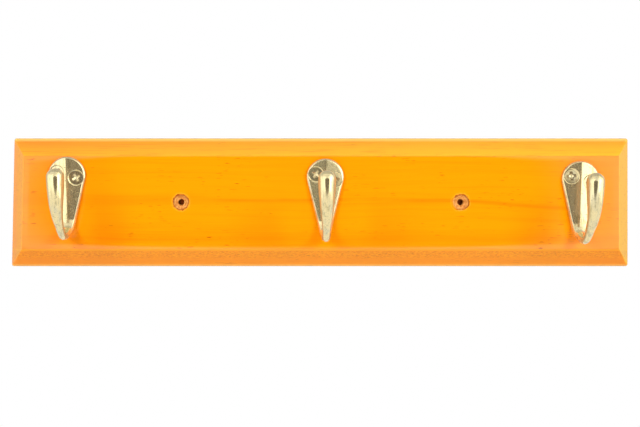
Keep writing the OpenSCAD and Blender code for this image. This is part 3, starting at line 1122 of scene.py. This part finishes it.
@dataclass(frozen=True)
class StainedPine:
    """Honey-orange stain under gloss lacquer, with bare wood in the wall screw holes."""

    light: Tone = linear(255, 151, 1)
    dark: Tone = linear(240, 124, 1)
    fleck: Tone = linear(168, 74, 6)
    pale: Tone = linear(255, 186, 14)
    low: Tone = linear(255, 154, 8)
    rubbed: Tone = linear(255, 196, 70)
    # Painted shade on the left end's outer edge, with stain held in the end grain.
    end_stain_and_shade: Tone = linear(255, 150, 50)
    # Painted highlight on the rounded arrises.
    arris_highlight: Tone = linear(255, 208, 105)
    bare: Tone = linear(236, 174, 96)
    # Bare wood's grain, and painted shade on the countersinks' upper parts.
    bare_grain_and_shade: Tone = linear(200, 126, 56)
    # Painted shade down the bores.
    bore_shade: Tone = linear(120, 48, 14)
    burnt: Tone = linear(140, 58, 12)
    roughness: float = 0.45
    coat_roughness: float = 0.07
    coat_ior: float = 1.62
    relief: float = 0.25

    def streaks_and_shade(self, n: Nodes, at: Spot) -> Socket:
        """How dark the growth rings are: uneven bands along the board, its few strong ones, and painted
        shade towards the bottom.

        Args:
            n: The material's nodes.
            at: The point's place.

        Returns:
            A value from 0 in pale wood to 1 in the darkest streak.
        """
        wander = n.noise(at.place, (0.011, 0.02, 0.02))
        ring = n.plus(at.z, n.times(at.y, 0.5), n.times(wander, 12.0))
        rings = n.add("CombineXYZ", {"X": n.times(at.x, 0.004), "Y": n.times(ring, 0.42)})
        fine = n.ease(n.noise(rings.outputs[0], (1.0, 1.0, 1.0), 4.0, 0.6), 0.42, 0.75)
        sinking = n.weighted((n.ease(at.x, 62.0, 125.0), -4.2), (n.less(wander, 0.5), 2.0))
        strong = n.band(at.z, n.plus(sinking, 1.0), 1.5)
        patchy = n.ease(n.noise(at.place, (0.03, 0.1, 0.1), shift=(7.0, 0.0, 0.0)), 0.3, 0.6)
        total = n.weighted(
            (fine, 0.34),
            (n.times(strong, n.ease(at.x, -80.0, -25.0), patchy), 0.8),
            (n.times(n.band(at.z, 1.2, 5.0), n.ease(at.x, -30.0, -80.0)), 0.35),
            (n.band(at.z, -17.3, 3.4), 0.3),
            (n.band(at.z, 14.6, 1.6), 0.12),
            # Painted shade: the face darker towards the bottom.
            (n.ease(at.z, -8.0, -20.0), 0.17),
        )
        return n.least(total, 1.0)

    def stained(self, n: Nodes, at: Spot, lines: Socket, flecks: Socket, specks: Socket) -> Socket:
        """Colour of the stained wood: the face, the bevels that the stain took less, painted light on
        the top bevel and the right end, painted highlights on the arrises and the bottom bevel's inner
        edge, and painted shade at the left end's outer edge.

        Args:
            n: The material's nodes.
            at: The point's place.
            lines: The fibres' value.
            flecks: Mask of the open pores.
            specks: Value of the grain where it is cut across.

        Returns:
            The colour.
        """
        tone = n.plus(self.streaks_and_shade(n, at), n.times(n.less(lines, 0.5), 0.9))
        ends = n.weighted(
            (n.ease(at.x, -86.0, -112.0), 0.32), (n.ease(at.x, 60.0, 130.0), 0.15),
            (n.ease(at.x, -112.0, -135.0), 0.22), (n.ease(at.x, 112.0, 140.0), 0.35))
        at_end = n.ease(n.size(at.n_x), 0.3, 0.5)
        on_bevel = n.ease(n.size(at.n_z), 0.3, 0.5)
        # Painted light, with stain the bevels took less: the upward-facing top bevel paler, most low on
        # it and to the right, and the right end paler than the left.
        top = n.weighted((n.ease(at.z, 30.8, 23.4), 0.45), (n.ease(at.x, -140.0, 80.0), 0.35))
        top = n.times(n.ease(at.n_z, 0.3, 0.6), n.plus(top, 0.12))
        pale = n.most(top, n.times(at_end, n.ease(at.x, -60.0, 60.0)), n.times(at_end, 0.5))
        planed = n.noise(at.place, (0.045, 1.1, 1.1), 4.0, 0.65, (2.0, 5.0, 0.0))
        torn = n.noise(at.place, (0.7, 2.2, 2.2), 4.0, 0.7)
        inner = n.times(n.ease(at.z, -23.4, -24.0), n.ease(at.z, -28.5, -26.0))
        return n.layered(
            n.mix(n.most(tone, 0.0), self.light, self.dark),
            (self.dark, ends, 1.0),
            (self.fleck, flecks, 0.8),
            (self.pale, pale, 1.0),
            (self.dark, n.times(n.ease(planed, 0.52, 0.64), on_bevel), 0.4),
            (self.low, n.ease(at.n_z, -0.3, -0.6), 0.35),
            (self.fleck, n.times(n.ease(specks, 0.54, 0.68), at_end), 0.25),
            # Painted shade: the left end's outer edge darker and pinker, with stain held in the end
            # grain.
            (self.end_stain_and_shade, n.ease(at.x, -148.6, -151.0), 0.5),
            (self.fleck, n.times(n.ease(torn, 0.52, 0.6), inner), 0.38),
            (self.pale, n.times(n.ease(torn, 0.48, 0.4), inner), 0.45),
            # Painted highlight along the bottom bevel's inner edge.
            (self.pale, n.band(at.z, -23.2, 0.7), 0.4),
            # Painted highlights on the top and bottom arrises, the top one stronger.
            (self.arris_highlight, n.ease(at.z, 29.6, 31.2), 0.85),
            (self.arris_highlight, n.ease(at.z, -30.2, -31.2), 0.45),
        )

    def holed(self, n: Nodes, at: Spot, board: Board, colour: Socket) -> tuple[Socket, Socket, Socket]:
        """Lay the wall screw holes over the stain: bare cones with painted shade on their upper parts
        and down the bores, burnt rims and a rubbed ring.

        The right hole was drilled more roughly and has a chip at its left.

        Args:
            n: The material's nodes.
            at: The point's place.
            board: The board, for the places and sizes of its holes.
            colour: The stained wood's colour.

        Returns:
            The colour, the mask of bare wood and the mask of the rims.
        """
        sink_r, hole_r, front = board.sink_r, board.hole_r, -board.thickness
        aside, above = n.less(n.size(at.x), board.hole_x), n.less(at.z, board.hole_z)
        away = n.math("SQRT", n.plus(n.times(aside, aside), n.times(above, above)))
        chips = n.noise(at.place, (0.55, 0.55, 0.55), 2.0, 0.6, (3.0, 0.0, 5.0))
        on_right = n.ease(at.x, -10.0, 10.0)
        chipped = n.times(n.ease(aside, -1.0, -3.6), n.ease(above, 3.4, 1.0), on_right)
        rough_cut = n.times(n.less(chips, 0.5), n.plus(1.0, n.times(on_right, 0.9)))
        ragged = n.plus(away, rough_cut, n.times(chipped, -0.5))
        near = n.times(n.ease(away, sink_r + 1.5, sink_r + 1.0), n.ease(at.y, -2.0, -6.0))
        bore = n.ease(away, hole_r + 0.35, hole_r + 0.1)
        inside = n.times(n.ease(at.y, front + 0.05, front + 0.25), n.most(near, bore),
                         n.ease(ragged, sink_r + 0.5, sink_r + 0.1))
        rim = n.times(n.band(ragged, sink_r - 0.1, 0.7), near, n.rest(n.times(chipped, 0.8)))
        sawn = n.noise(at.place, (0.9, 0.9, 0.9), 4.0, 0.65, (4.0, 1.0, 2.0))
        bare = n.layered(
            self.bare,
            (self.bare_grain_and_shade, n.ease(sawn, 0.4, 0.62), 1.0),
            # Painted shade: the countersink cone darker towards its top.
            (self.bare_grain_and_shade, n.ease(above, 0.5, 3.8), 0.4),
            # Painted shade down the bore.
            (self.bore_shade, n.ease(away, hole_r + 0.1, hole_r - 0.15), 1.0),
        )
        colour = n.layered(
            colour,
            (self.rubbed, n.times(n.band(ragged, sink_r + 0.6, 0.4), near), 0.3),
            (bare, inside, 1.0),
            (self.burnt, n.times(rim, n.less(1.1, n.times(n.ease(chips, 0.35, 0.6), 0.5))), 1.0),
        )
        return colour, inside, rim

    def material(self, board: Board) -> bpy.types.Material:
        """Build the finish.

        Args:
            board: The board, for the places and sizes of its holes.

        Returns:
            The material.
        """
        material, n, shader = new_material("stained_pine")
        at = Spot(n)
        group = value_group("wood_fibres", ("Lines", "Flecks"), fibres)
        lines, flecks = n.add("Group", {"Place": at.place}, node_tree=group).outputs
        specks = n.noise(at.place, (1.3, 1.3, 0.9), 3.0, 0.6)
        colour = self.stained(n, at, lines, flecks, specks)
        colour, inside, rim = self.holed(n, at, board, colour)
        uncoated = n.most(inside, rim, n.times(n.ease(at.n_z, -0.3, -0.6), 0.45))
        on_bevel = n.ease(n.size(at.n_z), 0.3, 0.5)
        relief = n.weighted((lines, 0.6), (specks, on_bevel), (flecks, -0.4))
        n.set(shader.inputs["Base Color"], colour)
        n.set(shader.inputs["Roughness"], n.plus(n.times(inside, 0.35), self.roughness))
        n.set(shader.inputs["Coat Weight"], n.rest(uncoated))
        n.set(shader.inputs["Coat Roughness"], self.coat_roughness)
        n.set(shader.inputs["Coat IOR"], self.coat_ior)
        n.set(shader.inputs["Specular IOR Level"], 0.0)
        n.set(shader.inputs["Normal"], n.bump(relief, self.relief))
        return material


@dataclass(frozen=True)
class PolishedBrass:
    """Brass polished on the prong and rim, rougher on the facets, and with painted reflections of the
    wood on the prong's sides and back as a dull tan film.

    The prong's own colours come in over prong_y, and those of the countersinks' walls over
    sink_y. Both are places along Y in millimetres from the wall.
    """

    name: str
    bright: Tone
    worn: Tone
    pit: Tone
    roughness: float
    rough_facets: float
    relief: float
    film: float
    side_reflection_film: float
    prong_y: tuple[float, float] = (-26.0, -31.0)
    sink_y: tuple[float, float] = (-17.8, -17.2)
    # Painted reflection of the wood on the prong's sides.
    side_reflection_tone: Tone = linear(190, 146, 78)
    # Painted reflection of the shaded board on the prong's back.
    back_reflection_tone: Tone = linear(176, 160, 110)
    # Painted shade in the countersinks and on the screw heads.
    painted_shade_tone: Tone = linear(96, 74, 40)
    wall_tone: Tone = linear(226, 166, 82)
    cool: Tone = linear(226, 218, 184)

    def material(self, group: bpy.types.NodeTree) -> bpy.types.Material:
        """Build the finish.

        A mark on the mesh is above 0 on the plate's facets and below 0 where shade is painted.

        Args:
            group: The shared group of casting pits.

        Returns:
            The material.
        """
        material, n, shader = new_material(self.name)
        at = Spot(n)
        spots, pitting, cloud = n.add("Group", {"Place": at.place}, node_tree=group).outputs
        mark = n.add("Attribute", attribute_name=MARK).outputs["Fac"]
        # Marks below 0 carry painted shade, in the countersinks and on the screw heads.
        facet, shade_marks = n.most(mark, 0.0), n.most(n.times(mark, -1.0), 0.0)
        smooth = n.rest(facet)
        on_prong = n.ease(at.y, *self.prong_y)
        # Painted reflection of the wood: the prong's sides get a dull tan film.
        side = n.times(n.ease(n.size(at.n_x), 0.68, 0.94), on_prong)
        # Painted reflection on the prong's back, which faces the board: a dull tan in place of the
        # board's orange.
        back = n.times(n.ease(at.n_y, 0.0, 0.4), on_prong)
        wall = n.times(n.ease(n.size(at.n_y), 0.55, 0.25), n.ease(at.y, *self.sink_y))
        polish = n.noise(at.place, (0.8, 0.45, 0.1), 3.0, 0.6)
        dull = n.times(n.ease(polish, 0.46, 0.66), n.ease(cloud, 0.35, 0.6))
        tinted = n.ease(n.noise(at.place, (0.4, 0.3, 0.07), shift=(3.0, 0.0, 9.0)), 0.42, 0.66)
        colour = n.layered(
            self.bright,
            (self.cool, n.times(tinted, smooth), 0.6),
            (self.worn, n.times(dull, n.less(0.7, n.times(smooth, 0.18))), 1.0),
            (self.side_reflection_tone, side, 0.8),
            (self.back_reflection_tone, back, 1.0),
            (self.pit, n.times(spots, n.plus(n.times(facet, 0.25), 0.35)), 1.0),
            (self.wall_tone, wall, 0.7),
            (self.painted_shade_tone, shade_marks, 0.9),
        )
        film = n.weighted((facet, 0.05), (side, self.side_reflection_film), (n.most(wall, shade_marks), 0.45))
        film = n.most(n.plus(film, self.film), n.times(back, 0.85))
        rough = n.plus(n.weighted((facet, self.rough_facets), (dull, 0.06)), self.roughness)
        height = n.weighted((pitting, n.plus(n.times(facet, 0.3), 0.12)), (polish, 0.3))
        n.set(shader.inputs["Base Color"], colour)
        n.set(shader.inputs["Metallic"], n.rest(film))
        n.set(shader.inputs["Specular IOR Level"], 0.0)
        n.set(shader.inputs["Roughness"], rough)
        n.set(shader.inputs["Normal"], n.bump(height, self.relief))
        return material


@dataclass(frozen=True)
class Lamp:
    """A soft rectangular light aimed at the board, which no reflection shows, in metres."""

    name: str
    at: tuple[float, float, float]
    size: tuple[float, float]
    level: float

    def build(self) -> None:
        """Add the light, whose level is 1 where the lamp itself is white."""
        data = bpy.data.lights.new(self.name, "AREA")
        data.shape = "RECTANGLE"
        data.size, data.size_y = self.size
        data.energy = math.pi * self.size[0] * self.size[1] * self.level
        lamp = bpy.data.objects.new(self.name, data)
        lamp.location = self.at
        lamp.rotation_euler = (-Vector(self.at)).to_track_quat("-Z", "Y").to_euler()
        lamp.visible_glossy = False
        bpy.context.scene.collection.objects.link(lamp)


@dataclass
class Studio:
    """A white room with soft lights on all sides, and the dark gap where the camera stands.

    Places and sizes are metres, and the lens is in millimetres.
    """

    board: Board
    camera_at: tuple = (-0.0151, -0.626, 0.010)
    lens: float = 70.3
    shift: tuple = (30 / 640, -31.4 / 640)
    room_level: float = 0.17
    floor_z: float = -0.5
    floor_half: float = 3.0
    floor_fade: tuple = (0.35, 1.1)
    floor_tone: Tone = (0.85, 0.85, 0.84, 1.0)
    floor_roughness: float = 0.9
    gap_x: tuple = (-0.28, 0.288)
    gap_z: tuple = (-0.105, 0.135)
    gap_soft_x: tuple = (0.035, 0.055)
    gap_soft_z: tuple = (0.03, 0.05)
    gap_spare: float = 0.2
    gap_behind: float = 0.03
    gap_tone: Tone = (0.068, 0.038, 0.022, 1.0)
    gap_outer_tone: Tone = (0.05, 0.046, 0.022, 1.0)
    scrap_half: float = 0.0019
    scrap_y: float = 0.001
    # Painted shade seen through the wall screw holes.
    hole_shade_tone: Tone = linear(98, 38, 8)
    lamps: tuple[Lamp, ...] = (
        Lamp("left_key", (-0.36, -0.40, 0.22), (0.17, 0.24), 14.1),
        Lamp("right_key", (0.36, -0.40, 0.22), (0.17, 0.24), 14.1),
        Lamp("top_light", (0.0, -0.40, 0.75), (1.2, 0.5), 0.66),
        Lamp("low_light", (0.0, -0.45, -0.33), (0.9, 0.28), 2.42),
        Lamp("left_wash", (-0.75, -0.30, 0.0), (0.5, 0.5), 0.7),
        Lamp("right_wash", (0.75, -0.30, 0.0), (0.5, 0.5), 0.91),
        Lamp("back_light", (0.0, 0.75, 0.0), (0.8, 0.5), 1.2),
    )

    def camera(self) -> None:
        """Put the camera square to the board, left of its middle and a little above it."""
        data = bpy.data.cameras.new("camera")
        data.lens = self.lens
        data.sensor_width = 36.0
        data.shift_x, data.shift_y = self.shift
        data.clip_start, data.clip_end = 0.01, 20.0
        camera = bpy.data.objects.new("camera", data)
        camera.location = self.camera_at
        camera.rotation_euler = (math.pi / 2, 0.0, 0.0)
        bpy.context.scene.collection.objects.link(camera)
        bpy.context.scene.camera = camera

    def room(self) -> None:
        """Make the world white to the camera, a room of pale walls in reflections, else a fill.

        In reflections the walls ahead are bright, most of all to both sides of the camera and at
        a window on the right. They are dim behind the rack and dimmer overhead, where a bright
        strip crosses the ceiling. Light that reaches the wood off the brass is the fill alone.
        """
        world = bpy.data.worlds.new("room")
        bpy.context.scene.world = world
        world.use_nodes = True
        n = Nodes(world.node_tree)
        x, y, z = n.parts(n.add("TexCoord").outputs["Generated"])
        ahead = n.times(n.ease(y, 0.12, -0.15), n.ease(z, 0.97, 0.8), n.ease(z, -0.6, -0.25))
        bright = n.weighted((n.band(n.size(x), 0.52, 0.3), 0.2), (n.band(x, 0.74, 0.36), 1.3))
        walls = n.plus(0.85, n.times(ahead, n.plus(bright, 0.38)))
        overhead = n.times(n.band(n.size(x), 0.0, 0.45), n.ease(z, 0.1, 0.24))
        high = n.most(overhead, n.ease(z, 0.2, 0.75))
        strip = n.times(n.band(y, -0.4, 0.16), n.ease(z, 0.78, 0.86))
        behind = n.times(n.ease(y, 0.37, 0.52), n.band(z, 0.0, 0.5))
        walls = n.plus(n.times(walls, n.rest(n.times(high, 0.42))),
                       n.weighted((strip, 0.3), (behind, -0.2)))
        path = n.add("LightPath").outputs
        glossy, off_wood = path["Is Glossy Ray"], n.least(path["Diffuse Depth"], 1.0)
        fill = n.most(path["Is Diffuse Ray"], n.times(glossy, off_wood))
        strength = n.plus(
            path["Is Camera Ray"], path["Is Transmission Ray"],
            n.times(glossy, n.rest(off_wood), walls), n.times(fill, self.room_level))
        ground = world.node_tree.nodes["Background"]
        n.set(ground.inputs["Color"], WHITE)
        n.set(ground.inputs["Strength"], strength)

    def sheet(self, material: bpy.types.Material, name: str, low: tuple,
              high: tuple) -> bpy.types.Object:
        """Add a stage piece: a flat rectangle that lies level, or stands square to the board.

        Args:
            material: Its finish.
            name: Its name.
            low: Its lowest corner.
            high: The corner across from it.

        Returns:
            The piece, which faces up or ahead.
        """
        corners = [low, (high[0], *low[1:]), high, (low[0], *high[1:])]
        mesh = bpy.data.meshes.new(name)
        mesh.from_pydata(corners, [], [(0, 1, 2, 3)])
        mesh.materials.append(material)
        sheet = bpy.data.objects.new(name, mesh)
        bpy.context.scene.collection.objects.link(sheet)
        return sheet

    def card(self) -> None:
        """Stand a dark soft-edged card round the camera, which only reflections see.

        Its dark part narrows above and below the camera by the root of 1 less a power.
        """
        material, n, shader = new_material("camera_gap")
        material.node_tree.nodes.remove(shader)
        (low_x, high_x), (low_z, high_z) = self.gap_x, self.gap_z
        x, _, z = n.parts(n.add("TexCoord").outputs["Object"])
        below = n.math("POWER", n.most(n.over(z, low_z), 0.0), 2.6)
        above = n.math("POWER", n.most(n.over(z, high_z), 0.0), 1.6)
        x = n.over(x, n.math("SQRT", n.most(n.rest(n.most(below, above)), 0.01)))
        (left, right), (bottom, top) = self.gap_soft_x, self.gap_soft_z
        dark = n.times(n.ease(x, low_x - left, low_x + left),
                       n.ease(x, high_x + right, high_x - right),
                       n.ease(z, low_z - bottom, low_z + bottom),
                       n.ease(z, high_z + top, high_z - top))
        outer = n.ease(n.size(x), 0.09, 0.16)
        tone = n.mix(outer, self.gap_tone, self.gap_outer_tone)
        n.show(n.blend(dark, n.clear(), n.glow(tone)))
        y, spare = self.camera_at[1] - self.gap_behind, self.gap_spare
        card = self.sheet(material, "camera_gap", (low_x - spare, y, low_z - spare),
                          (high_x + spare, y, high_z + spare))
        card.visible_camera = card.visible_diffuse = card.visible_shadow = False

    def shade_holes(self) -> None:
        """Put a dark scrap behind each wall screw hole, seen from ahead: painted shade that glows where
        a wall would be.
        """
        material, n, shader = new_material("hole_backing")
        material.node_tree.nodes.remove(shader)
        from_behind = n.add("NewGeometry").outputs["Backfacing"]
        # Each scrap glows dark from ahead, as painted shade, and is clear from behind.
        n.show(n.blend(from_behind, n.glow(self.hole_shade_tone), n.clear()))
        y, z, half = self.scrap_y, self.board.hole_z * MM, self.scrap_half
        for side, name in ((-1, "left"), (1, "right")):
            x = side * self.board.hole_x * MM
            scrap = self.sheet(material, f"hole_backing_{name}", (x - half, y, z - half),
                               (x + half, y, z + half))
            scrap.visible_diffuse = scrap.visible_glossy = False

    def floor(self) -> None:
        """Lay a pale floor that fades into the white room away from the rack, and in brass.

        It is clear to the camera from below.
        """
        material, n, shader = new_material("floor")
        n.set(shader.inputs["Base Color"], self.floor_tone)
        n.set(shader.inputs["Roughness"], self.floor_roughness)
        place = n.add("TexCoord").outputs["Object"]
        away = n.add("VectorMath", {0: place}, operation="LENGTH").outputs["Value"]
        path = n.add("LightPath").outputs
        glossy, camera = path["Is Glossy Ray"], path["Is Camera Ray"]
        first = n.rest(n.least(path["Diffuse Depth"], 1.0))
        far = n.most(n.times(n.ease(away, *self.floor_fade), camera), n.times(glossy, first))
        white = n.glow(WHITE, n.rest(n.times(glossy, 0.15)))
        below = n.times(n.add("NewGeometry").outputs["Backfacing"], camera)
        n.show(n.blend(below, n.blend(far, shader.outputs[0], white), n.clear()))
        half, z = self.floor_half, self.floor_z
        self.sheet(material, "floor", (-half, -half, z), (half, half, z))

    def build(self) -> None:
        """Set up the camera, the room, the lights, the card, the scraps of painted shade and the floor.
        """
        bpy.context.scene.view_settings.view_transform = "Standard"
        self.camera()
        self.room()
        for lamp in self.lamps:
            lamp.build()
        self.card()
        self.shade_holes()
        self.floor()


def dress(piece: bpy.types.Object, material: bpy.types.Material, nodes: list[str]) -> None:
    """Give a piece its finish and let it stand for its CAD nodes.

    Args:
        piece: The new piece.
        material: Its finish.
        nodes: Names of the CAD nodes that it replaces.
    """
    piece.data.materials.append(material)
    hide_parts(*nodes)
    log.info("%s stands for %s", piece.name, ", ".join(nodes))


def main() -> None:
    """Build the rack's pieces in order, dress them, and set up the studio."""
    logging.basicConfig(level=logging.INFO, format="%(message)s")
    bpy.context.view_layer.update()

    board = Board()
    dress(board.build(), StainedPine().material(board), ["board"])

    pitting = value_group("metal_pits", ("Pits", "Height", "Cloud"), pits)
    cast = PolishedBrass(
        name="cast_brass", bright=linear(253, 234, 178), worn=linear(176, 158, 104),
        pit=linear(132, 110, 62), roughness=0.1, rough_facets=0.03, relief=0.5,
        film=0.1, side_reflection_film=0.6).material(pitting)
    plated = PolishedBrass(
        name="screw_brass", bright=linear(242, 222, 168), worn=linear(180, 152, 98),
        pit=linear(130, 104, 62), roughness=0.12, rough_facets=0.0, relief=0.4,
        film=0.12, side_reflection_film=0.0).material(pitting)
    askew = (0.04, 0.09)
    hooks = [
        (CastHook(Place.LEFT, -123.9, 13.4, -1.6), Drive(52.0, 0.3), Drive(30.0)),
        (CastHook(Place.CENTRE, 2.1, 12.5, 0.0, lean=0.008), Drive(58.0, 0.25), Drive(12.0, 0.4)),
        (CastHook(Place.RIGHT, 126.5, 11.4, 2.0), Drive(10.0, 1.0, askew), Drive(8.0, 0.6)),
    ]
    for hook, *drives in hooks:
        name = f"{hook.place.value}_hook"
        dress(hook.build(), cast, [name])
        for seat, drive in zip(Seat, drives):
            screw = HookScrew(hook, seat, drive)
            dress(screw.build(), plated, [f"{name}_{seat.name.lower()}_screw"])

    Studio(board).build()


if __name__ == "__main__":
    main()
